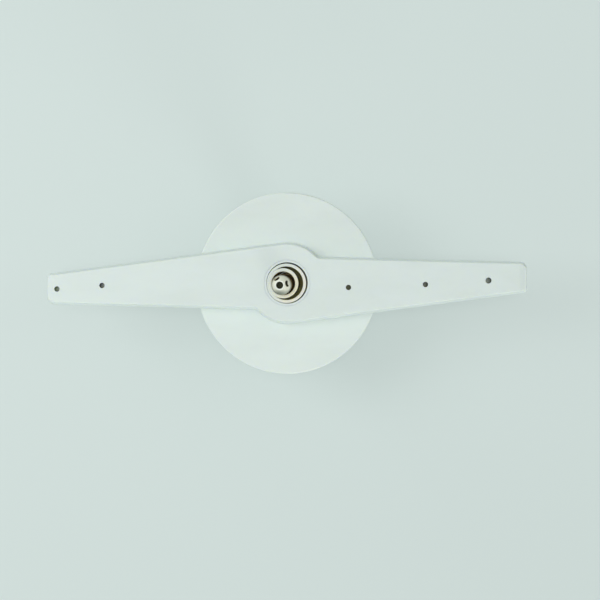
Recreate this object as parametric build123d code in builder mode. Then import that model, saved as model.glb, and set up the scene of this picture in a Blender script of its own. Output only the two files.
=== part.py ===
"""Lower spray arm of a dishwasher with a telescoping wash tower, in millimetres.

The spin axis is Z, the arm lies along X, and the pump bearing stands on Z = 0.
"""
import math
import os

from build123d import *

# Plan of the arm, at the seam between its two shells
arm_length = 508.0
hub_radius = 43.1
tip_slanted_y = -9.8
tip_straight_y = 22.5
straight_edge_slope = -0.0246
neck_round = 7.7
tip_straight_round = 7.3
tip_slanted_round = 4.0

# Arm shells
upper_shell_height = 12.0
lower_shell_height = 4.0
shell_wall = 2.0
top_wall = 2.4
floor_wall = 2.2
wall_draft = 12.0
top_edge_round = 1.0
bottom_edge_round = 1.2
seam_chamfer = 0.3
tip_bevel_length = 9.0
tip_bevel_drop = 1.3
tongue_thickness = 1.2
tongue_height = 3.0
tongue_clearance = 0.15

# Spray holes in the top of the arm: side, distance in from that tip, Y and diameter
spray_holes = [
    (-1, 11.9, -6.3, 5.7),
    (-1, 59.3, -2.6, 5.7),
    (1, 189.4, -4.7, 5.6),
    (1, 108.4, -1.6, 5.7),
    (1, 42.1, 2.6, 6.4),
]

# Shield disc under the arm
disc_radius = 96.3
disc_thickness = 2.5
disc_rim_depth = 3.0
disc_rim_width = 2.2
disc_edge_round = 1.3

# Pump bearing, which stays still, and the ring that traps it
pump_neck_radius = 19.0
bearing_tail_wall = 5.5
bearing_edge_round = 0.6
bearing_tail_height = 9.0
bearing_flange_width = 5.0
bearing_flange_thickness = 4.0
spigot_wall = 3.5
spigot_height = 17.0
spigot_end_clearance = 0.7
neck_lead_in = 0.8
washer_thickness = 1.5
retainer_thickness = 4.0
retainer_seat_width = 1.1
running_clearance = 0.08
turning_clearance = 0.4
lift_clearance = 0.3
seating_clearance = 0.05

# Tower housing
housing_wall = 2.4
cup_wall = 2.4
cup_web = 2.5
cup_edge_round = 1.0
spider_thickness = 3.3
spider_boss_radius = 6.0
spoke_width = 3.6
spoke_count = 4
stem_height = 59.5
housing_flange_edge = 4.0
housing_flange_thickness = 3.0
housing_flange_round = 0.8
gusset_count = 4
gusset_height = 14.0
gusset_thickness = 2.0
window_width = 24.0
window_height = 6.5
assembly_clearance = 0.15

# Screws through the housing flange and the disc into the lower shell
screw_count = 4
screw_offset = 5.6
screw_first_angle = 45.0
screw_radius = 1.4
screw_length = 12.0
screw_head_radius = 2.9
screw_head_height = 2.2
screw_drive_width = 0.8
screw_drive_depth = 1.0
screw_clearance = 0.25
screw_boss_wall = 2.2
screw_boss_height = 7.0

# Gasket round the housing, between the disc and the arm
gasket_width = 2.6
gasket_thickness = 1.2

# Collar that guides the tower and holds it in the housing
collar_hole_radius = 21.65
collar_neck_wall = 1.3
collar_ledge_width = 1.2
collar_flange_thickness = 1.4
collar_neck_length = 3.6
collar_edge_chamfer = 0.3

# Telescoping tower sections: two sleeves and the nozzle inside them
section_flange_thickness = 3.0
section_lip_thickness = 2.4
section_wall = 1.1
lip_round = 0.8
flange_side_clearance = 0.3
seat_clearance = 0.3
rest_clearance = 0.25
lean_margin = 0.15
outer_sleeve_gap = 0.9
outer_lip_width = 3.2
outer_sleeve_proud = 0.6
outer_lean_heading = 203.0
inner_sleeve_gap = 3.35
inner_lip_width = 1.9
inner_rim_width = 1.6
inner_rim_thickness = 1.6
inner_lean_heading = 180.0
nozzle_gap = 2.7
nozzle_bead_width = 0.9
nozzle_bead_height = 1.0
nozzle_lean_heading = 228.0

# Domed cap on the nozzle
cap_thickness = 0.8
cap_skirt_height = 4.0
cap_spigot_height = 3.0
cap_dome_flatness = 3.1
cap_shoulder_round = 2.6
jet_radius = 3.75
jet_rim_width = 1.5
jet_rim_height = 0.25
jet_rim_round = 0.2
jet_lean = 5.9
jet_lean_heading = 183.0
slot_radius = 7.1
slot_width = 2.4
slot_bend_radius = 5.0
slot_sweep = 50.0
slot_headings = [118.0, 12.0]

# Heights of the stacked pieces
washer_z = bearing_tail_height + bearing_flange_thickness
cup_z = washer_z + washer_thickness
spigot_top_z = washer_z + spigot_height
spider_z = spigot_top_z + spigot_end_clearance
seat_z = spider_z + spider_thickness
disc_z = seat_z + stem_height
head_z = disc_z - housing_flange_thickness
arm_z = disc_z + disc_thickness
floor_z = arm_z + floor_wall
seam_z = arm_z + lower_shell_height
top_z = seam_z + upper_shell_height
ceiling_z = top_z - top_wall
retainer_top_z = bearing_tail_height - lift_clearance
retainer_z = retainer_top_z - retainer_thickness

# Radii of the fits
bearing_tail_radius = pump_neck_radius + bearing_tail_wall
bearing_flange_radius = bearing_tail_radius + bearing_flange_width
spigot_radius = pump_neck_radius + spigot_wall
spigot_bore_radius = spigot_radius + running_clearance
collar_neck_radius = collar_hole_radius + collar_neck_wall
chamber_radius = collar_neck_radius + assembly_clearance
collar_radius = chamber_radius + collar_ledge_width
housing_neck_radius = spigot_bore_radius + housing_wall
housing_radius = chamber_radius + housing_wall
housing_fit_radius = housing_radius + assembly_clearance
spoke_reach = max(chamber_radius, spigot_bore_radius) + housing_wall / 2
screw_circle_radius = housing_radius + screw_offset
housing_flange_radius = screw_circle_radius + housing_flange_edge
cup_radius = bearing_flange_radius + turning_clearance
retainer_radius = cup_radius + retainer_seat_width
skirt_radius = retainer_radius + cup_wall
screw_hole_radius = screw_radius + screw_clearance
outer_sleeve_radius = collar_hole_radius - outer_sleeve_gap
outer_lip_hole_radius = outer_sleeve_radius - outer_lip_width
outer_bore_radius = outer_sleeve_radius - section_wall
outer_flange_radius = chamber_radius - flange_side_clearance
inner_sleeve_radius = outer_lip_hole_radius - inner_sleeve_gap
inner_lip_hole_radius = inner_sleeve_radius - inner_lip_width
inner_bore_radius = inner_sleeve_radius - section_wall
inner_flange_radius = outer_bore_radius - flange_side_clearance
inner_rim_radius = inner_sleeve_radius + inner_rim_width
nozzle_radius = inner_lip_hole_radius - nozzle_gap
nozzle_bore_radius = nozzle_radius - section_wall
nozzle_flange_radius = inner_bore_radius - flange_side_clearance
cap_radius = nozzle_radius + nozzle_bead_width
cap_bore_radius = cap_radius - cap_thickness
cap_dome_radius = cap_radius + cap_dome_flatness


def lean_slope(room, reach, heading):
    """Sideways run per height of a section that leans by room less the margin."""
    run = (room - lean_margin) / reach
    return Vector(run, 0, 0).rotate(Axis.Z, heading)


def leaning_frame(slope, flange_radius):
    """Frame of a section whose lowest flange edge lies just above the spider."""
    tilt = math.atan(slope.length)
    height = seat_z + seat_clearance + flange_radius * math.sin(tilt)
    return Plane(origin=(0, 0, height), x_dir=(1, 0, -slope.X), z_dir=(slope.X, slope.Y, 1))


def section_plane(frame):
    """Plane through the axis of a frame, with the axis as its own Y."""
    return Plane(origin=frame.origin, x_dir=frame.x_dir, z_dir=-frame.y_dir)


def frame_axis(frame):
    """Axis of a frame."""
    return Axis(frame.origin, frame.z_dir)


def draft_inset(height):
    """Distance by which a drafted wall leans inwards over a height."""
    return height * math.tan(math.radians(wall_draft))


def leaning_length(frame, height):
    """Length along the axis of a frame up to a height."""
    return (height - frame.origin.Z) / frame.z_dir.Z


# Lean of each tower section inside the one that guides it, with its rim just clear of that one's lip
outer_slope = lean_slope(outer_sleeve_gap, top_z - seat_z, outer_lean_heading)
outer_frame = leaning_frame(outer_slope, outer_flange_radius)
outer_top_z = top_z + outer_sleeve_proud
outer_length = leaning_length(outer_frame, outer_top_z)
inner_lean = lean_slope(inner_sleeve_gap, outer_top_z - seat_z, inner_lean_heading)
inner_slope = outer_slope + inner_lean
inner_frame = leaning_frame(inner_slope, inner_flange_radius)
inner_rim_z = outer_top_z + rest_clearance + inner_lean.length * inner_rim_radius
inner_top_z = inner_rim_z + inner_rim_thickness
inner_length = leaning_length(inner_frame, inner_top_z)
nozzle_lean = lean_slope(nozzle_gap, inner_top_z - seat_z, nozzle_lean_heading)
nozzle_slope = inner_slope + nozzle_lean
nozzle_frame = leaning_frame(nozzle_slope, nozzle_flange_radius)
nozzle_bead_z = inner_top_z + rest_clearance + nozzle_lean.length * cap_radius
nozzle_length = leaning_length(nozzle_frame, nozzle_bead_z + nozzle_bead_height)


def tip_corner(vertex):
    """Key that is largest at the slanted tip corners and least at the straight ones."""
    return -vertex.X * vertex.Y


def arm_plan(height, inset):
    """Plan of the arm at a height, moved inwards by inset."""
    tip_x = arm_length / 2 - inset
    radius = hub_radius - inset
    tip_heading = math.degrees(math.atan2(tip_slanted_y, arm_length / 2))
    tip_distance = math.hypot(arm_length / 2, tip_slanted_y)
    touch_angle = tip_heading - math.degrees(math.acos(hub_radius / tip_distance))
    touch = Vector(radius, 0, 0).rotate(Axis.Z, touch_angle)
    slanted_slope = -touch.X / touch.Y
    tip_slanted = touch.Y + slanted_slope * (tip_x - touch.X)
    root_straight = tip_straight_y - straight_edge_slope * arm_length / 2
    root_straight -= inset * math.hypot(1, straight_edge_slope)
    tip_straight = root_straight + straight_edge_slope * tip_x
    with BuildSketch(Plane.XY.offset(height)) as plan:
        Circle(radius)
        with BuildLine():
            Polyline(
                (0, 0),
                (touch.X, touch.Y),
                (tip_x, tip_slanted),
                (tip_x, tip_straight),
                (0, root_straight),
                close=True,
            )
        wing = make_face(mode=Mode.PRIVATE)
        with PolarLocations(0, 2):
            add(wing)
        necks = plan.vertices().filter_by(lambda v: v.X * v.Y > 0 and abs(v.X) < hub_radius)
        fillet(necks, neck_round + inset)
        slanted_tips = plan.vertices().group_by(tip_corner)[-1]
        fillet(slanted_tips, tip_slanted_round)
        straight_tips = plan.vertices().group_by(tip_corner)[0]
        fillet(straight_tips, tip_straight_round)
    return plan.sketch


# Upper shell: drafted walls, spray holes and the seat of the collar
with BuildPart() as upper_arm_shell:
    seam_edge = arm_plan(seam_z, seam_chamfer)
    wall_foot = arm_plan(seam_z + seam_chamfer, draft_inset(seam_chamfer))
    wall_top = arm_plan(top_z, draft_inset(upper_shell_height))
    loft([seam_edge, wall_foot, wall_top], ruled=True)
    fillet(upper_arm_shell.faces().sort_by(Axis.Z)[-1].edges(), top_edge_round)
    for side in (1, -1):
        with BuildSketch(Plane.XZ):
            with BuildLine():
                Polyline(
                    (side * (arm_length / 2 - tip_bevel_length), top_z),
                    (side * arm_length / 2, top_z - tip_bevel_drop),
                    (side * arm_length / 2, top_z),
                    close=True,
                )
            make_face()
        extrude(amount=hub_radius, both=True, mode=Mode.SUBTRACT)
    cavity_foot = arm_plan(seam_z, shell_wall)
    cavity_top = arm_plan(ceiling_z, shell_wall + draft_inset(ceiling_z - seam_z))
    loft([cavity_foot, cavity_top], ruled=True, mode=Mode.SUBTRACT)
    with Locations((0, 0, top_z)):
        CounterBoreHole(chamber_radius, collar_radius + seating_clearance, collar_flange_thickness)
    for side, tip_distance, hole_y, hole_diameter in spray_holes:
        with Locations((side * (arm_length / 2 - tip_distance), hole_y, top_z)):
            Hole(hole_diameter / 2)
upper_arm_shell.part.label = "upper_arm_shell"

# Lower shell: tray with an inner tongue, a housing socket and screw bosses
tongue_inset = shell_wall + tongue_clearance + draft_inset(tongue_height)
with BuildPart() as lower_arm_shell:
    extrude(arm_plan(arm_z, 0), amount=lower_shell_height)
    fillet(lower_arm_shell.faces().sort_by(Axis.Z)[0].edges(), bottom_edge_round)
    chamfer(lower_arm_shell.faces().sort_by(Axis.Z)[-1].edges(), seam_chamfer)
    tongue_top = seam_z + tongue_height - floor_z
    tongue_inside = arm_plan(floor_z, tongue_inset + tongue_thickness)
    extrude(arm_plan(floor_z, shell_wall), amount=lower_shell_height, mode=Mode.SUBTRACT)
    extrude(arm_plan(floor_z, tongue_inset), amount=tongue_top)
    extrude(tongue_inside, amount=tongue_top, mode=Mode.SUBTRACT)
    with BuildSketch(Plane.XY.offset(floor_z)):
        Circle(housing_fit_radius + shell_wall)
        with PolarLocations(screw_circle_radius, screw_count, screw_first_angle):
            Circle(screw_radius + screw_boss_wall)
    extrude(amount=screw_boss_height)
    with BuildSketch(Plane.XY.offset(arm_z)):
        Circle(housing_fit_radius)
        with PolarLocations(screw_circle_radius, screw_count, screw_first_angle):
            Circle(screw_radius + seating_clearance)
    extrude(amount=floor_wall + screw_boss_height, mode=Mode.SUBTRACT)
    with BuildSketch(Plane.XY.offset(arm_z)):
        Circle(housing_fit_radius + gasket_width)
    extrude(amount=gasket_thickness, mode=Mode.SUBTRACT)
lower_arm_shell.part.label = "lower_arm_shell"

# Shield disc with a turned-down rim
with BuildPart() as shield_disc:
    with BuildSketch(Plane.XY.offset(disc_z - disc_rim_depth)):
        Circle(disc_radius)
    extrude(amount=disc_rim_depth + disc_thickness)
    with BuildSketch(Plane.XY.offset(disc_z - disc_rim_depth)):
        Circle(disc_radius - disc_rim_width)
    extrude(amount=disc_rim_depth, mode=Mode.SUBTRACT)
    fillet(shield_disc.edges().group_by(Axis.Z)[-1], disc_edge_round)
    with BuildSketch(Plane.XY.offset(disc_z)):
        Circle(housing_fit_radius)
        with PolarLocations(screw_circle_radius, screw_count, screw_first_angle):
            Circle(screw_hole_radius)
    extrude(amount=disc_thickness, mode=Mode.SUBTRACT)
shield_disc.part.label = "shield_disc"

# Tower housing: bearing cup, stem with a spider seat, flange and water windows
gusset_root = housing_radius - housing_wall / 2
with BuildPart() as tower_housing:
    with BuildSketch(Plane.XZ) as housing_profile:
        with BuildLine():
            Polyline(
                (retainer_radius + seating_clearance, retainer_z),
                (skirt_radius, retainer_z),
                (skirt_radius, cup_z + cup_web),
                (housing_neck_radius, cup_z + cup_web),
                (housing_neck_radius, spider_z),
                (housing_radius, seat_z),
                (housing_radius, head_z),
                (housing_flange_radius, head_z),
                (housing_flange_radius, disc_z),
                (housing_radius, disc_z),
                (housing_radius, ceiling_z),
                (chamber_radius, ceiling_z),
                (chamber_radius, seat_z),
                (spigot_bore_radius, spider_z),
                (spigot_bore_radius, cup_z),
                (cup_radius, cup_z),
                (cup_radius, retainer_top_z),
                (retainer_radius + seating_clearance, retainer_top_z),
                close=True,
            )
        make_face()
        flange_corners = housing_profile.vertices().filter_by_position(
            Axis.X, housing_flange_radius, housing_flange_radius
        )
        fillet(flange_corners, housing_flange_round)
        cup_corners = housing_profile.vertices().filter_by_position(Axis.X, skirt_radius, skirt_radius)
        fillet(cup_corners, cup_edge_round)
    revolve(axis=Axis.Z)
    with BuildSketch(Plane.XY.offset(spider_z)):
        Circle(spider_boss_radius)
        with PolarLocations(spoke_reach / 2, spoke_count):
            Rectangle(spoke_reach, spoke_width)
    extrude(amount=spider_thickness)
    for gusset in range(gusset_count):
        with BuildSketch(Plane.XZ.rotated((0, 0, gusset * 360 / gusset_count))):
            with BuildLine():
                Polyline(
                    (gusset_root, head_z),
                    (gusset_root, head_z - gusset_height),
                    (screw_circle_radius, head_z),
                    close=True,
                )
            make_face()
        extrude(amount=gusset_thickness / 2, both=True)
    with BuildSketch(Plane.XY.offset(head_z)):
        with PolarLocations(screw_circle_radius, screw_count, screw_first_angle):
            Circle(screw_hole_radius)
    extrude(amount=housing_flange_thickness, mode=Mode.SUBTRACT)
    with BuildSketch(Plane.XY.offset(floor_z)):
        Rectangle(2 * skirt_radius, window_width)
        Rectangle(window_width, 2 * skirt_radius)
    extrude(amount=window_height, mode=Mode.SUBTRACT)
tower_housing.part.label = "tower_housing"

# Gasket in the recess under the lower shell
with BuildPart() as arm_gasket:
    with BuildSketch(Plane.XY.offset(arm_z)):
        Circle(housing_fit_radius + gasket_width - seating_clearance)
        Circle(housing_fit_radius, mode=Mode.SUBTRACT)
    extrude(amount=gasket_thickness)
arm_gasket.part.label = "arm_gasket"

# Screws, heads down, with a straight drive slot
with BuildPart() as flange_screws:
    with BuildSketch(Plane.XY.offset(head_z - screw_head_height)):
        with PolarLocations(screw_circle_radius, screw_count, screw_first_angle):
            Circle(screw_head_radius)
    extrude(amount=screw_head_height)
    with BuildSketch(Plane.XY.offset(head_z)):
        with PolarLocations(screw_circle_radius, screw_count, screw_first_angle):
            Circle(screw_radius)
    extrude(amount=screw_length)
    with BuildSketch(Plane.XY.offset(head_z - screw_head_height)):
        with PolarLocations(screw_circle_radius, screw_count, screw_first_angle):
            Rectangle(2 * screw_head_radius, screw_drive_width)
    extrude(amount=screw_drive_depth, mode=Mode.SUBTRACT)
flange_screws.part.label = "flange_screws"

# Collar: flange flush with the top of the arm and a neck inside the housing
with BuildPart() as tower_collar:
    with BuildSketch(Plane.XY.offset(top_z - collar_flange_thickness)):
        Circle(collar_radius)
    extrude(amount=collar_flange_thickness)
    with BuildSketch(Plane.XY.offset(top_z - collar_flange_thickness)):
        Circle(collar_neck_radius)
    extrude(amount=-collar_neck_length)
    with Locations((0, 0, top_z)):
        Hole(collar_hole_radius)
    chamfer(tower_collar.edges().group_by(Axis.Z)[-1], collar_edge_chamfer)
tower_collar.part.label = "tower_collar"

# Pump bearing: the tail takes the pump neck, the spigot carries the housing
with BuildPart() as hub_bearing:
    with BuildSketch(Plane.XZ) as bearing_profile:
        with BuildLine():
            Polyline(
                (pump_neck_radius + neck_lead_in, 0),
                (bearing_tail_radius, 0),
                (bearing_tail_radius, bearing_tail_height),
                (bearing_flange_radius, bearing_tail_height),
                (bearing_flange_radius, washer_z),
                (spigot_radius, washer_z),
                (spigot_radius, spigot_top_z),
                (pump_neck_radius, spigot_top_z),
                (pump_neck_radius, neck_lead_in),
                close=True,
            )
        make_face()
        flange_foot = bearing_profile.vertices().group_by(Axis.X)[-1].sort_by(Axis.Y)[0]
        fillet(flange_foot, bearing_edge_round)
    revolve(axis=Axis.Z)
hub_bearing.part.label = "hub_bearing"

# Thrust washer between the bearing flange and the cup
with BuildPart() as thrust_washer:
    with BuildSketch(Plane.XY.offset(washer_z)):
        Circle(bearing_flange_radius)
        Circle(spigot_radius + turning_clearance, mode=Mode.SUBTRACT)
    extrude(amount=washer_thickness)
thrust_washer.part.label = "thrust_washer"

# Ring pressed into the cup, which traps the bearing flange
with BuildPart() as bearing_retainer:
    with BuildSketch(Plane.XY.offset(retainer_z)):
        Circle(retainer_radius)
        Circle(bearing_tail_radius + turning_clearance, mode=Mode.SUBTRACT)
    extrude(amount=retainer_thickness)
bearing_retainer.part.label = "bearing_retainer"


def telescoping_sleeve(frame, radius, bore_radius, lip_hole_radius, flange_radius, length, rim_radius=None):
    """Sleeve with a foot flange, an inward lip at its top and, given its radius, an outward rim."""
    top_edge = [(radius, length)]
    if rim_radius:
        rim_foot = length - inner_rim_thickness
        top_edge = [(radius, rim_foot), (rim_radius, rim_foot), (rim_radius, length)]
    with BuildPart() as sleeve:
        with BuildSketch(section_plane(frame)) as profile:
            with BuildLine():
                Polyline(
                    (bore_radius, 0),
                    (flange_radius, 0),
                    (flange_radius, section_flange_thickness),
                    (radius, section_flange_thickness),
                    *top_edge,
                    (lip_hole_radius, length),
                    (lip_hole_radius, length - section_lip_thickness),
                    (bore_radius, length - section_lip_thickness),
                    close=True,
                )
            make_face()
            fillet(profile.vertices().group_by(Axis.Y)[-1], lip_round)
        revolve(axis=frame_axis(frame))
    return sleeve.part


outer_sleeve = telescoping_sleeve(
    outer_frame,
    outer_sleeve_radius,
    outer_bore_radius,
    outer_lip_hole_radius,
    outer_flange_radius,
    outer_length,
)
outer_sleeve.label = "outer_sleeve"
inner_sleeve = telescoping_sleeve(
    inner_frame,
    inner_sleeve_radius,
    inner_bore_radius,
    inner_lip_hole_radius,
    inner_flange_radius,
    inner_length,
    inner_rim_radius,
)
inner_sleeve.label = "inner_sleeve"

# Nozzle tube with a foot flange, a bead that carries the cap and a spigot inside it
bead_foot = nozzle_length - nozzle_bead_height
with BuildPart() as nozzle_tube:
    with BuildSketch(section_plane(nozzle_frame)):
        with BuildLine():
            Polyline(
                (nozzle_bore_radius, 0),
                (nozzle_flange_radius, 0),
                (nozzle_flange_radius, section_flange_thickness),
                (nozzle_radius, section_flange_thickness),
                (nozzle_radius, bead_foot),
                (cap_radius, bead_foot),
                (cap_radius, nozzle_length),
                (cap_bore_radius - seating_clearance, nozzle_length),
                (cap_bore_radius - seating_clearance, nozzle_length + cap_spigot_height),
                (nozzle_bore_radius, nozzle_length + cap_spigot_height),
                close=True,
            )
        make_face()
    revolve(axis=frame_axis(nozzle_frame))
nozzle_tube.part.label = "nozzle_tube"

# Domed metal cap with a rimmed jet hole and two curved slots, set round a leaning jet axis
cap_frame = nozzle_frame.offset(nozzle_length)
dome_z = cap_skirt_height - math.sqrt(cap_dome_radius**2 - cap_radius**2)
cap_apex = dome_z + cap_dome_radius
inner_dome_radius = cap_dome_radius - cap_thickness
eaves_z = dome_z + math.sqrt(inner_dome_radius**2 - cap_bore_radius**2)
rim_radius = jet_radius + jet_rim_width
rim_foot = math.sqrt(cap_dome_radius**2 - rim_radius**2)
rim_root = (rim_foot + math.sqrt(inner_dome_radius**2 - jet_radius**2)) / 2
rim_top = math.sqrt(cap_dome_radius**2 - jet_radius**2) + jet_rim_height
jet_plane = Plane.XY.rotated((0, jet_lean, 0))
jet_z_dir = jet_plane.z_dir.rotate(Axis.Z, jet_lean_heading)
jet_frame = Plane(
    origin=cap_frame.from_local_coords((0, 0, dome_z)),
    x_dir=cap_frame.x_dir,
    z_dir=cap_frame.from_local_coords(jet_z_dir) - cap_frame.origin,
)


def slot_arc(heading):
    """Middle line of a slot at a heading, bent towards the jet."""
    bend = Vector(slot_radius + slot_bend_radius, 0, 0).rotate(Axis.Z, heading)
    return CenterArc((bend.X, bend.Y), slot_bend_radius, heading + 180 - slot_sweep / 2, slot_sweep)


slot_arcs = [slot_arc(heading) for heading in slot_headings]
with BuildPart() as nozzle_cap:
    with BuildSketch(section_plane(cap_frame)) as cap_profile:
        with BuildLine():
            Polyline((cap_bore_radius, eaves_z), (cap_bore_radius, 0), (cap_radius, 0))
            Line((cap_radius, 0), (cap_radius, cap_skirt_height))
            RadiusArc((cap_radius, cap_skirt_height), (0, cap_apex), -cap_dome_radius)
            Line((0, cap_apex), (0, cap_apex - cap_thickness))
            RadiusArc((0, cap_apex - cap_thickness), (cap_bore_radius, eaves_z), inner_dome_radius)
        make_face()
        shoulder = cap_profile.vertices().group_by(Axis.X)[-1].sort_by(Axis.Y)[-1]
        fillet(shoulder, cap_shoulder_round)
    revolve(axis=frame_axis(cap_frame))
    with BuildSketch(jet_frame.offset(rim_root)):
        Circle(rim_radius)
    extrude(amount=rim_top - rim_root)
    with BuildSketch(jet_frame):
        Circle(jet_radius)
    extrude(amount=2 * cap_dome_radius, mode=Mode.SUBTRACT)
    rim_edges = nozzle_cap.edges().filter_by(GeomType.CIRCLE).sort_by(frame_axis(jet_frame))[-2:]
    fillet(rim_edges, jet_rim_round)
    with BuildSketch(jet_frame.offset(cap_spigot_height - dome_z)):
        for arc in slot_arcs:
            SlotArc(arc, slot_width)
    extrude(amount=2 * cap_dome_radius, mode=Mode.SUBTRACT)
nozzle_cap.part.label = "nozzle_cap"

# One STEP file for each piece
os.makedirs("parts", exist_ok=True)
export_step(upper_arm_shell.part, "parts/upper_arm_shell.step")
export_step(lower_arm_shell.part, "parts/lower_arm_shell.step")
export_step(shield_disc.part, "parts/shield_disc.step")
export_step(tower_housing.part, "parts/tower_housing.step")
export_step(arm_gasket.part, "parts/arm_gasket.step")
export_step(flange_screws.part, "parts/flange_screws.step")
export_step(tower_collar.part, "parts/tower_collar.step")
export_step(hub_bearing.part, "parts/hub_bearing.step")
export_step(thrust_washer.part, "parts/thrust_washer.step")
export_step(bearing_retainer.part, "parts/bearing_retainer.step")
export_step(outer_sleeve, "parts/outer_sleeve.step")
export_step(inner_sleeve, "parts/inner_sleeve.step")
export_step(nozzle_tube.part, "parts/nozzle_tube.step")
export_step(nozzle_cap.part, "parts/nozzle_cap.step")
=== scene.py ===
"""Looks of a dishwasher spray arm with a telescoping wash tower, in metres."""
import math

import bpy
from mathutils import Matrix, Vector


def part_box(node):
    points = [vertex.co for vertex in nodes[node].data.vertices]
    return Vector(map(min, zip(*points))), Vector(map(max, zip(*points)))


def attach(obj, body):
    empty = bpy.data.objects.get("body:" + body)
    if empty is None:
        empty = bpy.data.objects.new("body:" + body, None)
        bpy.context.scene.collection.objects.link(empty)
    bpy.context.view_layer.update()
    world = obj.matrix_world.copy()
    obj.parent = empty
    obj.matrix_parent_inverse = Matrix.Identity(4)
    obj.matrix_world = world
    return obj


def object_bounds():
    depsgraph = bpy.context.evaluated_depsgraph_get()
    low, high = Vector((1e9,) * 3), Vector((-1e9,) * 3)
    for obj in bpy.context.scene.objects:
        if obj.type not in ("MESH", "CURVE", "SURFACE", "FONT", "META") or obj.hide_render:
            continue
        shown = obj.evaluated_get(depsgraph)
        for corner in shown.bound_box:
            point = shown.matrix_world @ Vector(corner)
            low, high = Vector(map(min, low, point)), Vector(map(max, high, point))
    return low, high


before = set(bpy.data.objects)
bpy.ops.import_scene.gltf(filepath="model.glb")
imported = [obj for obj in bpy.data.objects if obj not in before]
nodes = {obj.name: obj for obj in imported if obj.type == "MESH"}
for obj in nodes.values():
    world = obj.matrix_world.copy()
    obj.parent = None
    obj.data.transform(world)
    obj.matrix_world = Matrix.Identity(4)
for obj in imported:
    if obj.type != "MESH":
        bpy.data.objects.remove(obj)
cad_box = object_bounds()

# Colours as linear red, green and blue
ARM_WHITE = (0.693, 0.776, 0.746)
ARM_WHITE_DEEP = (0.653, 0.732, 0.696)
# Painted light: the disc is a lighter copy of the arm's white, making up for the arm's shade on it
DISC_WHITE = (0.718, 0.796, 0.771)
DISC_WHITE_DEEP = (0.680, 0.754, 0.726)
SLEEVE_WHITE = (0.730, 0.795, 0.745)
SLEEVE_WHITE_DEEP = (0.690, 0.745, 0.680)
# Painted shade: cream tint for one side of the outer sleeve
SLEEVE_SIDE_SHADE = (0.770, 0.770, 0.690)
# Painted shade: warm tints of the outer sleeve below its rim and on its bore
SLEEVE_RECESS_SHADE = (0.845, 0.820, 0.590)
SLEEVE_BORE_SHADE = (0.860, 0.820, 0.440)
INNER_WHITE = (0.725, 0.785, 0.735)
INNER_WHITE_DEEP = (0.680, 0.730, 0.660)
# Painted shade: cream tint for one side of the inner sleeve
INNER_SIDE_SHADE = (0.810, 0.785, 0.620)
# Painted shade: warm tints of the inner sleeve below its rim and on its bore
INNER_RECESS_SHADE = (0.850, 0.795, 0.530)
INNER_BORE_SHADE = (0.870, 0.740, 0.420)
NOZZLE_TAN = (0.800, 0.700, 0.480)
NOZZLE_TAN_DEEP = (0.700, 0.570, 0.350)
# Painted shade: dark tints on floors inside the arm, the inner sleeve and the nozzle tube
ARM_HOLLOW_SHADE = (0.200, 0.215, 0.080)
INNER_HOLLOW_SHADE = (0.560, 0.545, 0.240)
NOZZLE_HOLLOW_SHADE = (0.720, 0.570, 0.290)
BEARING_GREY = (0.300, 0.315, 0.320)
BEARING_GREY_DEEP = (0.240, 0.255, 0.260)
WASHER_WHITE = (0.740, 0.740, 0.700)
WASHER_WHITE_DEEP = (0.660, 0.660, 0.620)
# Painted shade: near-black olive of the swirl core in the jet hole
CORE_SHADE_OLIVE = (0.038, 0.044, 0.018)
CORE_SHADE_OLIVE_DEEP = (0.028, 0.032, 0.013)
CAP_STEEL = (0.840, 0.850, 0.735)
CAP_STEEL_DEEP = (0.700, 0.710, 0.600)
# Painted shade on one side of the cap
CAP_SIDE_SHADE = (0.270, 0.300, 0.255)
RIM_STEEL = (0.730, 0.760, 0.690)
# Painted shade in the jet bore and on the edge of the cap
JET_BORE_SHADE = (0.110, 0.112, 0.085)
CAP_EDGE_SHADE = (0.330, 0.340, 0.290)
SCREW_STEEL = (0.560, 0.555, 0.540)
SCREW_STEEL_DEEP = (0.400, 0.395, 0.380)
RUBBER_BLACK = (0.025, 0.025, 0.026)
RUBBER_GREY = (0.050, 0.050, 0.050)
FLOOR_PALE = (0.648, 0.738, 0.714)
SKY_PALE = (0.970, 1.000, 0.990)

# Moulded finishes: roughness, depth of the grain and specular level
ARM_FINISH = (0.44, 0.00003, 0.42)
DISC_FINISH = (0.46, 0.00003, 0.42)
TOWER_FINISH = (0.40, 0.00002, 0.12)
BEARING_FINISH = (0.36, 0.00002, 0.42)
WASHER_FINISH = (0.30, 0.00001, 0.42)
CORE_FINISH = (0.50, 0.00002, 0.15)

# Grain of the mould, and how far it moves the roughness down and up
MOULD_GRAIN = 0.00045
MOULD_GRAIN_RANGE = (0.25, 0.75)
GRAIN_SMOOTHER = 0.05
GRAIN_ROUGHER = 0.07

# Mottling drawn out along the arm, and handling marks, which are darker and a little polished
FLOW_WIDTH = 0.020
FLOW_STRETCH = (3.0, 1.0, 1.0)
FLOW_RANGE = (0.35, 0.75)
FLOW_SHARE = 0.55
MARK_SIZE = 0.009
MARK_RANGE = (0.55, 0.80)
MARK_SHARE = 0.30
MARK_POLISH = -0.06

# Light that enters the plastic and spreads in it
PLASTIC_IOR = 1.49
SUBSURFACE_WEIGHT = 0.35
SUBSURFACE_RADIUS = (1.0, 0.9, 0.45)
SUBSURFACE_SCALE = 0.003

# Side of the sleeves with a painted cream shade, and how far from the hub the change reaches
SHADED_SIDE = (0.85, -0.53, 0.0)
SHADED_SIDE_REACH = 0.014

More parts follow.
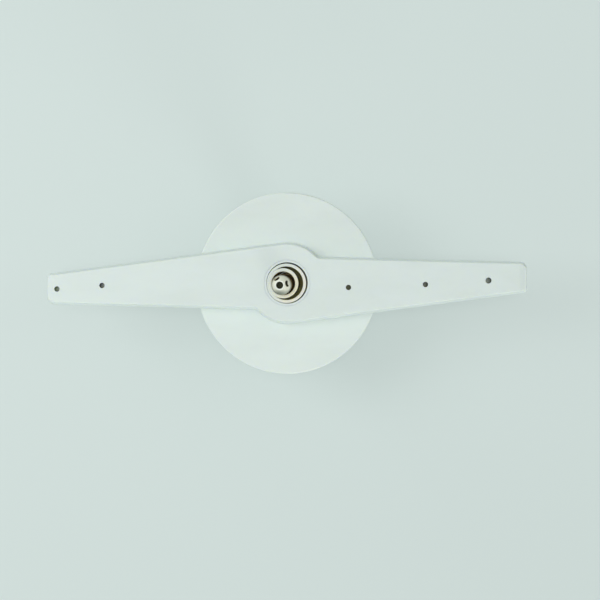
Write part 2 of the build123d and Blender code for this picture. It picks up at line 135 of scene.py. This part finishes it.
# Painted warm shade in the tower: upright runs below a height, and the walls of the bores
RECESS_SHADE_TOP = 0.110
RECESS_SHADE_BLUR = 0.003
RECESS_SHADE_RUN = 0.0025
RECESS_SHADE_RUN_STRETCH = (1.0, 1.0, 8.0)
RECESS_SHADE_RUN_RANGE = (0.30, 0.65)
RECESS_SHADE_RUN_SHARE = (0.45, 1.0)
BORE_FACING = (-0.95, -0.75)

# Painted dark shade on level floors inside, which thins out between two distances from the hub
HOLLOW_SHADE_START = 0.080
HOLLOW_SHADE_END = 0.250
HOLLOW_SHADE_FACING = (0.7, 0.9)

# Spun lines and dull patches of the steel
SPUN_LINE = 0.00030
SPUN_LINE_RANGE = (0.25, 0.75)
SPUN_LINE_SHARE = 0.15
SPUN_RELIEF = 0.000015
PATCH_SIZE = 0.006
PATCH_RANGE = (0.45, 0.75)
PATCH_SHARE = 0.45
STEEL_ROUGHNESS = (0.62, 0.74)

# Cap: a polished bright rim round the jet hole, with painted shade as a dark hole, a dark edge and a
# darker side
JET_CENTRE = Vector((-0.0076, -0.0025))
JET_RIM_RADIUS = 0.0054
JET_BORE_RADIUS = 0.0036
JET_RIM_POLISH = -0.12
CAP_EDGE_RADIUS = 0.0097
CAP_MARK_BLUR = 0.0004
EDGE_BLUR = 0.0009
CAP_SHADE_SIDE = Vector((0.05, -1.0))
CAP_SHADE_START = 0.0031
CAP_SHADE_END = 0.0094

# Grain and grey bloom of the rubber
RUBBER_GRAIN = 0.00030
RUBBER_GRAIN_RANGE = (0.2, 0.8)
RUBBER_ROUGHNESS = (0.62, 0.80)
RUBBER_RELIEF = 0.00004
RUBBER_SPECULAR = 0.30
BLOOM_SIZE = 0.004
BLOOM_RANGE = (0.40, 0.75)

# Swirl core: depth below the mouth of its tube, thickness, boss and ports
CORE_DEPTH = 0.0004
CORE_THICKNESS = 0.0022
CORE_BOSS_HEIGHT = 0.0010
CORE_PORT_SPAN = math.radians(34.0)
CORE_PORTS = 4
CORE_SIDES = 72

# Radii of the swirl core's boss and ports as shares of the bore that it sits in
CORE_BOSS_FOOT = 0.62
CORE_BOSS_TOP = 0.45
CORE_PORT_DEPTH = 0.70

# How near to a tube's top face a point belongs to it, and the digits that tell points apart
MOUTH_TOLERANCE = 0.00001
MOUTH_DIGITS = 7

# Floor: its size, how far its shadows are lifted, where it fades out, and its tooth
FLOOR_SIZE = 60.0
FLOOR_LIFT = 0.45
FLOOR_FADE_START = 0.7
FLOOR_FADE_END = 3.0
FLOOR_TOOTH = 0.0012
FLOOR_TOOTH_RANGE = (0.2, 0.8)
FLOOR_ROUGHNESS = (0.80, 0.92)
FLOOR_RELIEF = 0.00003
FLOOR_SPECULAR = 0.15

# Far soft lights: heading, elevation and spread in degrees, and strength
CEILING = (0.0, 90.0, 16.0, 0.60)
LOW_FRONT = (295.0, 10.0, 20.0, 1.18)
LOW_BACK = (130.0, 10.0, 20.0, 0.30)

# Softboxes to the left and right: distance out, back and up, size, and the watts of each
SOFTBOX_OUT = 1.25
SOFTBOX_BACK = 0.30
SOFTBOX_UP = 1.35
SOFTBOX_SIZE = 0.9
KEY_WATTS = 9.8
FILL_WATTS = 2.2

# Even light of the room
ROOM_STRENGTH = 0.45

# Camera, which looks straight down from near the spin axis
CAMERA_PLACE = Vector((0.0136, -0.0179, 1.743))
CAMERA_VIEW_DEGREES = 21.9


def node(tree, kind, **settings):
    """Adds a node of a kind with the given settings."""
    made = tree.nodes.new(kind)
    for name, value in settings.items():
        setattr(made, name, value)
    return made


def shader_material(name):
    """New node material, with its tree and its shader."""
    material = bpy.data.materials.new(name)
    material.use_nodes = True
    tree = material.node_tree
    return material, tree, tree.nodes["Principled BSDF"]


def place(tree):
    """Position on the piece, which moves with it."""
    return node(tree, "ShaderNodeTexCoord").outputs["Object"]


def surface_normal(tree):
    """Direction that the surface faces, which turns with the piece."""
    return node(tree, "ShaderNodeTexCoord").outputs["Normal"]


def noise(tree, vector, feature, detail, stretch=(1.0, 1.0, 1.0)):
    """Noise from 0 to 1 with features of a size, drawn out along each axis by stretch."""
    mapping = node(tree, "ShaderNodeMapping")
    mapping.inputs["Scale"].default_value = [1.0 / s for s in stretch]
    tree.links.new(vector, mapping.inputs["Vector"])
    texture = node(tree, "ShaderNodeTexNoise")
    texture.inputs["Scale"].default_value = 1.0 / feature
    texture.inputs["Detail"].default_value = detail
    tree.links.new(mapping.outputs["Vector"], texture.inputs["Vector"])
    return texture.outputs["Fac"]


def remap(tree, value, low, high, to_low=0.0, to_high=1.0):
    """Value moved smoothly from one range to another and held inside it."""
    made = node(tree, "ShaderNodeMapRange", interpolation_type="SMOOTHSTEP")
    made.inputs["From Min"].default_value = low
    made.inputs["From Max"].default_value = high
    made.inputs["To Min"].default_value = to_low
    made.inputs["To Max"].default_value = to_high
    tree.links.new(value, made.inputs["Value"])
    return made.outputs["Result"]


def below(tree, value, limit, blur):
    """1 below a limit and 0 above it, with a soft edge."""
    return remap(tree, value, limit - blur, limit + blur, 1.0, 0.0)


def arithmetic(tree, operation, first, second):
    """Result of an operation on two numbers or sockets."""
    made = node(tree, "ShaderNodeMath", operation=operation)
    for socket, value in zip(made.inputs, (first, second)):
        if isinstance(value, float):
            socket.default_value = value
        else:
            tree.links.new(value, socket)
    return made.outputs["Value"]


def vector_math(tree, operation, first, second=None):
    """Result of an operation on a socket and, where it takes two, a vector or another socket."""
    made = node(tree, "ShaderNodeVectorMath", operation=operation)
    tree.links.new(first, made.inputs[0])
    if isinstance(second, tuple):
        made.inputs[1].default_value = second
    elif second is not None:
        tree.links.new(second, made.inputs[1])
    return made.outputs["Value" if operation in ("DOT_PRODUCT", "LENGTH") else "Vector"]


def upward_part(tree, vector):
    """Upward part of a vector."""
    split = node(tree, "ShaderNodeSeparateXYZ")
    tree.links.new(vector, split.inputs["Vector"])
    return split.outputs["Z"]


def from_axis(tree, position, centre):
    """Level vector from an upright axis through a point."""
    offset = vector_math(tree, "SUBTRACT", position, (centre.x, centre.y, 0.0))
    return vector_math(tree, "MULTIPLY", offset, (1.0, 1.0, 0.0))


def axis_distance(tree, position, centre):
    """Distance from an upright axis through a point."""
    return vector_math(tree, "LENGTH", from_axis(tree, position, centre))


def hub_distance(tree, position):
    """Distance from the spin axis."""
    return axis_distance(tree, position, Vector((0.0, 0.0)))


def blend_colours(tree, factor, first, second):
    """Colour between two others, each given as a colour or a socket."""
    made = node(tree, "ShaderNodeMix", data_type="RGBA")
    sockets = [socket for socket in made.inputs if socket.type == "RGBA"]
    for socket, colour in zip(sockets, (first, second)):
        if isinstance(colour, tuple):
            socket.default_value = (*colour, 1.0)
        else:
            tree.links.new(colour, socket)
    tree.links.new(factor, made.inputs["Factor"])
    return [socket for socket in made.outputs if socket.type == "RGBA"][0]


def bump(tree, height, distance):
    """Normal of a surface with a relief."""
    made = node(tree, "ShaderNodeBump")
    made.inputs["Strength"].default_value = 1.0
    made.inputs["Distance"].default_value = distance
    tree.links.new(height, made.inputs["Height"])
    return made.outputs["Normal"]


def painted_side_shade(tree, position):
    """0 to 1 across the hub, towards the side with painted cream shade."""
    side = vector_math(tree, "DOT_PRODUCT", position, SHADED_SIDE)
    return remap(tree, side, -SHADED_SIDE_REACH, SHADED_SIDE_REACH)


def sunk(tree, position):
    """1 below the rims of the tower and 0 above."""
    return below(tree, upward_part(tree, position), RECESS_SHADE_TOP, RECESS_SHADE_BLUR)


def painted_recess_shade(tree, position):
    """Upright runs of painted warm shade below the rims of the tower."""
    runs = noise(tree, position, RECESS_SHADE_RUN, detail=4.0, stretch=RECESS_SHADE_RUN_STRETCH)
    streaks = remap(tree, runs, *RECESS_SHADE_RUN_RANGE, *RECESS_SHADE_RUN_SHARE)
    return arithmetic(tree, "MULTIPLY", sunk(tree, position), streaks)


def bore_wall(tree, position, centre):
    """1 on walls that face an upright axis and 0 on rims and outer walls."""
    outward = vector_math(tree, "NORMALIZE", from_axis(tree, position, centre))
    facing = vector_math(tree, "DOT_PRODUCT", outward, surface_normal(tree))
    return remap(tree, facing, *BORE_FACING, 1.0, 0.0)


def painted_hollow_shade(tree, position):
    """Painted dark shade on what faces up, most of it near the hub."""
    thickness = remap(tree, hub_distance(tree, position), HOLLOW_SHADE_START, HOLLOW_SHADE_END, 1.0, 0.0)
    lying = remap(tree, upward_part(tree, surface_normal(tree)), *HOLLOW_SHADE_FACING)
    return arithmetic(tree, "MULTIPLY", lying, thickness)


def moulded_plastic(
    name, colour, deep, finish,
    side_shade=None, recess_shade=None, bore=None, bore_centre=None, hollow_shade=None,
):
    """Satin injection-moulded plastic: fine mould grain, flow mottling, handling marks and painted
    shade.

    A warm tint is painted as shade below the rim of a sleeve and, more so, on the bore of the
    sleeve.
    A dark tint is painted as shade on a floor inside, most of it near the hub.
    """
    material, tree, shader = shader_material(name)
    roughness, relief, specular = finish
    position = place(tree)
    grain = noise(tree, position, MOULD_GRAIN, detail=2.0)
    flow = noise(tree, position, FLOW_WIDTH, detail=4.0, stretch=FLOW_STRETCH)
    marks = remap(tree, noise(tree, position, MARK_SIZE, detail=5.0), *MARK_RANGE)
    mottling = arithmetic(tree, "MULTIPLY", remap(tree, flow, *FLOW_RANGE), FLOW_SHARE)
    shade = arithmetic(tree, "ADD", mottling, arithmetic(tree, "MULTIPLY", marks, MARK_SHARE))
    base = blend_colours(tree, shade, colour, deep)
    # Painted shade: a cream tint towards one side across the hub
    if side_shade:
        base = blend_colours(tree, painted_side_shade(tree, position), base, side_shade)
    # Painted shade: warm tint in runs below the rims, and on the bores
    if recess_shade:
        base = blend_colours(tree, painted_recess_shade(tree, position), base, recess_shade)
    if bore:
        base = blend_colours(tree, bore_wall(tree, position, bore_centre), base, bore)
    # Painted shade: dark tint on floors inside, most of it near the hub
    if hollow_shade:
        shade_share = painted_hollow_shade(tree, position)
        if recess_shade:
            shade_share = arithmetic(tree, "MULTIPLY", shade_share, sunk(tree, position))
        base = blend_colours(tree, shade_share, base, hollow_shade)
    tree.links.new(base, shader.inputs["Base Color"])
    gloss = arithmetic(tree, "MULTIPLY", marks, MARK_POLISH)
    rough = remap(
        tree, grain, *MOULD_GRAIN_RANGE, roughness - GRAIN_SMOOTHER, roughness + GRAIN_ROUGHER
    )
    tree.links.new(arithmetic(tree, "ADD", rough, gloss), shader.inputs["Roughness"])
    tree.links.new(bump(tree, grain, relief), shader.inputs["Normal"])
    shader.inputs["Specular IOR Level"].default_value = specular
    shader.inputs["IOR"].default_value = PLASTIC_IOR
    shader.inputs["Subsurface Weight"].default_value = SUBSURFACE_WEIGHT
    shader.inputs["Subsurface Radius"].default_value = SUBSURFACE_RADIUS
    shader.inputs["Subsurface Scale"].default_value = SUBSURFACE_SCALE
    return material


def shaded_cap(tree, position, centre, base, rough):
    """Colour and roughness of a cap with a polished jet rim, and painted shade in the jet hole, on
    the edge and on one side.
    """
    from_jet = axis_distance(tree, position, JET_CENTRE)
    rim = below(tree, from_jet, JET_RIM_RADIUS, CAP_MARK_BLUR)
    bore = below(tree, from_jet, JET_BORE_RADIUS, CAP_MARK_BLUR)
    dome = below(tree, axis_distance(tree, position, centre), CAP_EDGE_RADIUS, EDGE_BLUR)
    side = vector_math(tree, "DOT_PRODUCT", position, (*CAP_SHADE_SIDE, 0.0))
    from_middle = CAP_SHADE_SIDE.dot(centre.xy)
    side_darkening = remap(tree, side, from_middle + CAP_SHADE_START, from_middle + CAP_SHADE_END)
    # Painted shade: one side of the cap darker, its edge dark and its jet bore dark
    base = blend_colours(tree, side_darkening, base, CAP_SIDE_SHADE)
    base = blend_colours(tree, dome, CAP_EDGE_SHADE, base)
    base = blend_colours(tree, rim, base, RIM_STEEL)
    base = blend_colours(tree, bore, base, JET_BORE_SHADE)
    rim_only = arithmetic(tree, "SUBTRACT", rim, bore)
    polish = arithmetic(tree, "MULTIPLY", rim_only, JET_RIM_POLISH)
    return base, arithmetic(tree, "ADD", rough, polish)


def spun_steel(name, colour, deep, centre, worn=False):
    """Satin stainless steel with fine spun lines round an upright axis; the cap's shade painted if
    asked.
    """
    material, tree, shader = shader_material(name)
    position = place(tree)
    rings = node(tree, "ShaderNodeTexNoise", noise_dimensions="1D")
    rings.inputs["Scale"].default_value = 1.0
    rings.inputs["Detail"].default_value = 3.0
    turns = arithmetic(tree, "MULTIPLY", axis_distance(tree, position, centre), 1.0 / SPUN_LINE)
    tree.links.new(turns, rings.inputs["W"])
    lines = remap(tree, rings.outputs["Fac"], *SPUN_LINE_RANGE)
    patches = remap(tree, noise(tree, position, PATCH_SIZE, detail=4.0), *PATCH_RANGE)
    patch_shade = arithmetic(tree, "MULTIPLY", patches, PATCH_SHARE)
    line_shade = arithmetic(tree, "MULTIPLY", lines, SPUN_LINE_SHARE)
    shade = arithmetic(tree, "ADD", patch_shade, line_shade)
    base = blend_colours(tree, shade, colour, deep)
    rough = remap(tree, lines, 0.0, 1.0, *STEEL_ROUGHNESS)
    if worn:
        base, rough = shaded_cap(tree, position, centre, base, rough)
    tree.links.new(base, shader.inputs["Base Color"])
    tree.links.new(rough, shader.inputs["Roughness"])
    tree.links.new(bump(tree, rings.outputs["Fac"], SPUN_RELIEF), shader.inputs["Normal"])
    shader.inputs["Metallic"].default_value = 1.0
    return material


def rubber(name, colour, worn):
    """Dull black seal rubber with a fine grain and a grey bloom."""
    material, tree, shader = shader_material(name)
    position = place(tree)
    grain = noise(tree, position, RUBBER_GRAIN, detail=3.0)
    bloom = remap(tree, noise(tree, position, BLOOM_SIZE, detail=4.0), *BLOOM_RANGE)
    rough = remap(tree, grain, *RUBBER_GRAIN_RANGE, *RUBBER_ROUGHNESS)
    tree.links.new(blend_colours(tree, bloom, colour, worn), shader.inputs["Base Color"])
    tree.links.new(rough, shader.inputs["Roughness"])
    tree.links.new(bump(tree, grain, RUBBER_RELIEF), shader.inputs["Normal"])
    shader.inputs["Specular IOR Level"].default_value = RUBBER_SPECULAR
    return material


def seen_rays(tree):
    """1 for what the camera, metal and glass see, 0 for the light that falls on other things."""
    path = node(tree, "ShaderNodeLightPath")
    mirrored = arithmetic(
        tree, "MAXIMUM", path.outputs["Is Glossy Ray"], path.outputs["Is Transmission Ray"]
    )
    return arithmetic(tree, "MAXIMUM", path.outputs["Is Camera Ray"], mirrored)


def mix_shaders(tree, factor, first, second):
    """Shader between two others."""
    made = node(tree, "ShaderNodeMixShader")
    tree.links.new(factor, made.inputs["Fac"])
    tree.links.new(first, made.inputs[1])
    tree.links.new(second, made.inputs[2])
    return made.outputs["Shader"]


def pale_floor(name, colour, lift):
    """Matt pale floor, whose shadows are lifted by a share and which fades out far away.

    It is clear from below, so that the underside of the part can be looked at.
    """
    material, tree, shader = shader_material(name)
    position = place(tree)
    tooth = noise(tree, position, FLOOR_TOOTH, detail=3.0)
    rough = remap(tree, tooth, *FLOOR_TOOTH_RANGE, *FLOOR_ROUGHNESS)
    shader.inputs["Base Color"].default_value = (*colour, 1.0)
    tree.links.new(rough, shader.inputs["Roughness"])
    tree.links.new(bump(tree, tooth, FLOOR_RELIEF), shader.inputs["Normal"])
    shader.inputs["Specular IOR Level"].default_value = FLOOR_SPECULAR
    glow = node(tree, "ShaderNodeEmission")
    glow.inputs["Color"].default_value = (*colour, 1.0)
    away = hub_distance(tree, position)
    share = remap(tree, away, FLOOR_FADE_START, FLOOR_FADE_END, lift, 1.0)
    lifting = arithmetic(tree, "MULTIPLY", seen_rays(tree), share)
    lifted = mix_shaders(tree, lifting, shader.outputs["BSDF"], glow.outputs["Emission"])
    from_below = node(tree, "ShaderNodeNewGeometry").outputs["Backfacing"]
    clear = node(tree, "ShaderNodeBsdfTransparent").outputs["BSDF"]
    open_below = mix_shaders(tree, from_below, lifted, clear)
    tree.links.new(open_below, tree.nodes["Material Output"].inputs["Surface"])
    return material


def soft_room(name):
    """World with even light from all round and, for the camera, a backdrop as pale as the floor."""
    world = bpy.data.worlds.new(name)
    world.use_nodes = True
    tree = world.node_tree
    light = tree.nodes["Background"]
    light.inputs["Color"].default_value = (*SKY_PALE, 1.0)
    light.inputs["Strength"].default_value = ROOM_STRENGTH
    backdrop = node(tree, "ShaderNodeBackground")
    backdrop.inputs["Color"].default_value = (*FLOOR_PALE, 1.0)
    seen = node(tree, "ShaderNodeLightPath").outputs["Is Camera Ray"]
    both = mix_shaders(tree, seen, light.outputs["Background"], backdrop.outputs["Background"])
    tree.links.new(both, tree.nodes["World Output"].inputs["Surface"])
    return world


def middle(name):
    """Middle of a node's box."""
    low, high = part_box(name)
    return (low + high) / 2


def dress(material, *names):
    """Gives a finish to CAD nodes."""
    for name in names:
        nodes[name].data.materials.clear()
        nodes[name].data.materials.append(material)


def add_object(name, data):
    """New object in the scene."""
    made = bpy.data.objects.new(name, data)
    bpy.context.scene.collection.objects.link(made)
    return made


def tube_mouth(name):
    """Middle, axis and bore radius of the top face of a tube."""
    mesh = nodes[name].data
    face = max(mesh.polygons, key=lambda polygon: polygon.center.z)
    rim = {
        vertex.co.to_tuple(MOUTH_DIGITS)
        for vertex in mesh.vertices
        if abs((vertex.co - face.center).dot(face.normal)) < MOUTH_TOLERANCE
    }
    points = [Vector(point) for point in sorted(rim)]
    mouth = sum(points, Vector()) / len(points)
    return mouth, face.normal.copy(), min((point - mouth).length for point in points)


def core_ring(radius, level, ports=False):
    """Ring of points at a level, drawn in at the ports round the edge."""
    pitch = 2 * math.pi / CORE_PORTS
    ring = []
    for step in range(CORE_SIDES):
        angle = 2 * math.pi * step / CORE_SIDES
        from_port = abs((angle + pitch / 2) % pitch - pitch / 2)
        reach = radius * (CORE_PORT_DEPTH if ports and from_port < CORE_PORT_SPAN / 2 else 1.0)
        ring.append(Vector((reach * math.cos(angle), reach * math.sin(angle), level)))
    return ring


def swirl_core_mesh(name, tube):
    """Plate with ports round its edge and a boss in its middle, pressed into the mouth of a tube."""
    mouth, tube_axis, bore = tube_mouth(tube)
    rings = [
        core_ring(bore, -CORE_DEPTH - CORE_THICKNESS, ports=True),
        core_ring(bore, -CORE_DEPTH, ports=True),
        core_ring(CORE_BOSS_FOOT * bore, -CORE_DEPTH),
        core_ring(CORE_BOSS_TOP * bore, -CORE_DEPTH + CORE_BOSS_HEIGHT),
    ]
    along_tube = tube_axis.to_track_quat("Z", "Y")
    points = [mouth + along_tube @ point for ring in rings for point in ring]
    top_ring = CORE_SIDES * (len(rings) - 1)
    faces = [list(range(CORE_SIDES))[::-1]]
    for first in range(0, top_ring, CORE_SIDES):
        above = first + CORE_SIDES
        for step in range(CORE_SIDES):
            following = (step + 1) % CORE_SIDES
            faces.append([first + step, first + following, above + following, above + step])
    faces.append(list(range(top_ring, top_ring + CORE_SIDES)))
    mesh = bpy.data.meshes.new(name)
    mesh.from_pydata(points, [], faces)
    return mesh


def softbox(name, place_at, look_at, watts):
    """Square area light aimed at a point."""
    lamp = bpy.data.lights.new(name, "AREA")
    lamp.shape = "SQUARE"
    lamp.size = SOFTBOX_SIZE
    lamp.energy = watts
    light = add_object(name, lamp)
    light.location = place_at
    light.rotation_euler = (look_at - place_at).to_track_quat("-Z", "Y").to_euler()


def sun(name, heading, elevation, spread, strength):
    """Far soft light from a heading and an elevation in degrees, as wide as its spread."""
    lamp = bpy.data.lights.new(name, "SUN")
    lamp.angle = math.radians(spread)
    lamp.energy = strength
    light = add_object(name, lamp)
    level = math.cos(math.radians(elevation))
    towards = Vector((
        level * math.cos(math.radians(heading)),
        level * math.sin(math.radians(heading)),
        math.sin(math.radians(elevation)),
    ))
    light.rotation_euler = towards.to_track_quat("Z", "Y").to_euler()


# Finishes of the arm, the disc, the bearing and what holds and seals them
arm_plastic = moulded_plastic("arm_plastic_satin", ARM_WHITE, ARM_WHITE_DEEP, ARM_FINISH)
lower_plastic = moulded_plastic(
    "lower_arm_plastic", ARM_WHITE, ARM_WHITE_DEEP, ARM_FINISH, hollow_shade=ARM_HOLLOW_SHADE
)
disc_plastic = moulded_plastic("disc_plastic_satin", DISC_WHITE, DISC_WHITE_DEEP, DISC_FINISH)
bearing_plastic = moulded_plastic(
    "bearing_acetal", BEARING_GREY, BEARING_GREY_DEEP, BEARING_FINISH
)
washer_plastic = moulded_plastic("washer_plain", WASHER_WHITE, WASHER_WHITE_DEEP, WASHER_FINISH)
screw_steel = spun_steel(
    "screw_steel_plain", SCREW_STEEL, SCREW_STEEL_DEEP, middle("flange_screws")
)
seal_rubber = rubber("seal_rubber_dull", RUBBER_BLACK, RUBBER_GREY)
dress(arm_plastic, "upper_arm_shell", "tower_housing", "tower_collar", "bearing_retainer")
dress(lower_plastic, "lower_arm_shell")
dress(disc_plastic, "shield_disc")
dress(bearing_plastic, "hub_bearing")
dress(washer_plastic, "thrust_washer")
dress(screw_steel, "flange_screws")
dress(seal_rubber, "arm_gasket")

# Finishes of the tower
sleeve_plastic = moulded_plastic(
    "outer_sleeve_plastic", SLEEVE_WHITE, SLEEVE_WHITE_DEEP, TOWER_FINISH,
    side_shade=SLEEVE_SIDE_SHADE, recess_shade=SLEEVE_RECESS_SHADE,
    bore=SLEEVE_BORE_SHADE, bore_centre=middle("outer_sleeve"),
)
inner_plastic = moulded_plastic(
    "inner_sleeve_plastic", INNER_WHITE, INNER_WHITE_DEEP, TOWER_FINISH,
    side_shade=INNER_SIDE_SHADE, recess_shade=INNER_RECESS_SHADE,
    bore=INNER_BORE_SHADE, bore_centre=middle("inner_sleeve"), hollow_shade=INNER_HOLLOW_SHADE,
)
nozzle_plastic = moulded_plastic(
    "nozzle_tube_plastic", NOZZLE_TAN, NOZZLE_TAN_DEEP, TOWER_FINISH, hollow_shade=NOZZLE_HOLLOW_SHADE
)
cap_steel = spun_steel(
    "cap_spun_steel", CAP_STEEL, CAP_STEEL_DEEP, middle("nozzle_cap"), worn=True
)
dress(sleeve_plastic, "outer_sleeve")
dress(inner_plastic, "inner_sleeve")
dress(nozzle_plastic, "nozzle_tube")
dress(cap_steel, "nozzle_cap")

# Swirl core in the top of the nozzle tube, near black, which puts painted shade into the jet hole
# and the slots
core_plastic = moulded_plastic("swirl_core_plastic", CORE_SHADE_OLIVE, CORE_SHADE_OLIVE_DEEP, CORE_FINISH)
swirl_core = add_object("swirl_core", swirl_core_mesh("swirl_core", "nozzle_tube"))
swirl_core.data.materials.append(core_plastic)
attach(swirl_core, "nozzle")

# Floor under the foot of the bearing
bpy.ops.mesh.primitive_plane_add(size=FLOOR_SIZE, location=(0, 0, cad_box[0].z))
floor = bpy.context.object
floor.name = "floor"
floor.data.materials.append(pale_floor("floor_pale", FLOOR_PALE, FLOOR_LIFT))

# Soft studio light
part_top = Vector((0.0, 0.0, cad_box[1].z))
sun("ceiling", *CEILING)
sun("low_front", *LOW_FRONT)
sun("low_back", *LOW_BACK)
softbox("key_left", Vector((-SOFTBOX_OUT, SOFTBOX_BACK, SOFTBOX_UP)), part_top, KEY_WATTS)
softbox("fill_right", Vector((SOFTBOX_OUT, SOFTBOX_BACK, SOFTBOX_UP)), part_top, FILL_WATTS)
bpy.context.scene.world = soft_room("soft_room")

# Camera above the arm
camera_data = bpy.data.cameras.new("camera")
camera_data.angle = math.radians(CAMERA_VIEW_DEGREES)
camera = add_object("camera", camera_data)
camera.location = CAMERA_PLACE
bpy.context.scene.camera = camera
bpy.context.scene.view_settings.view_transform = "Standard"
